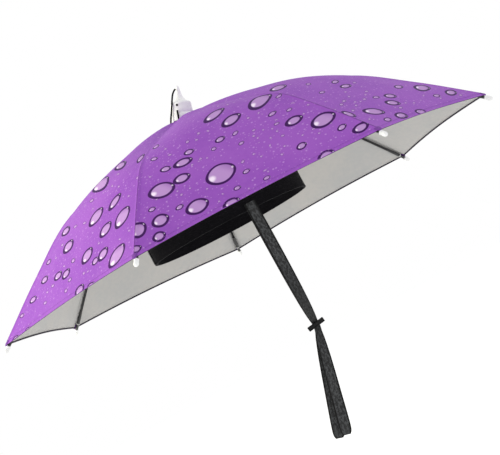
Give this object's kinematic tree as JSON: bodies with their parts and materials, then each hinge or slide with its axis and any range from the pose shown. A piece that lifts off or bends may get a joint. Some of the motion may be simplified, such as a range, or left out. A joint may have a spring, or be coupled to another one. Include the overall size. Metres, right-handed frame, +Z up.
{
  "type": "umbrella hat",
  "caption": "Hands-free sun and rain hat: a ribbed umbrella canopy on an elastic headband, with an elastic chin strap and slider.",
  "frame": {"origin": "the seat on the head: middle of the headband's oval, in the plane of its lower edge", "axes": "+Z up the hat's own axis towards the finial, +X towards the wearer's front, +Y towards the wearer's left"},
  "size_m": [0.5953, 0.5919, 0.4383],
  "materials": {
    "canopy_cloth": "coated cloth printed purple with water drops, silver-grey coating inside",
    "frame_black": "satin black",
    "white_plastic": "moulded white",
    "black_plastic": "moulded black",
    "band_elastic": "wide black elastic",
    "strap_elastic": "woven dark grey elastic",
    "hanger_tape": "black woven tape",
    "black_cord": "round black elastic cord"
  },
  "bodies": {
    "root": {"canopy": "canopy_cloth", "rib_1": "frame_black", "rib_2": "frame_black", "rib_3": "frame_black", "rib_4": "frame_black", "rib_5": "frame_black", "rib_6": "frame_black", "rib_7": "frame_black", "stretcher_1": "frame_black", "stretcher_2": "frame_black", "stretcher_3": "frame_black", "stretcher_4": "frame_black", "stretcher_5": "frame_black", "stretcher_6": "frame_black", "stretcher_7": "frame_black", "rib_tip_1": "white_plastic", "rib_tip_2": "white_plastic", "rib_tip_3": "white_plastic", "rib_tip_4": "white_plastic", "rib_tip_5": "white_plastic", "rib_tip_6": "white_plastic", "rib_tip_7": "white_plastic", "hanger_1": "hanger_tape", "hanger_2": "hanger_tape", "hanger_3": "hanger_tape", "hanger_4": "hanger_tape", "hanger_5": "hanger_tape", "hanger_6": "hanger_tape", "hanger_7": "hanger_tape", "hub": "black_plastic", "post": "black_plastic", "runner": "black_plastic", "finial": "white_plastic", "finial_loop": "black_cord", "finial_loop_end": "black_cord", "finial_knot": "black_cord", "headband": "band_elastic", "chin_strap_right": "strap_elastic", "chin_strap_left": "strap_elastic", "slider": "black_plastic"}
  },
  "joints": []
}
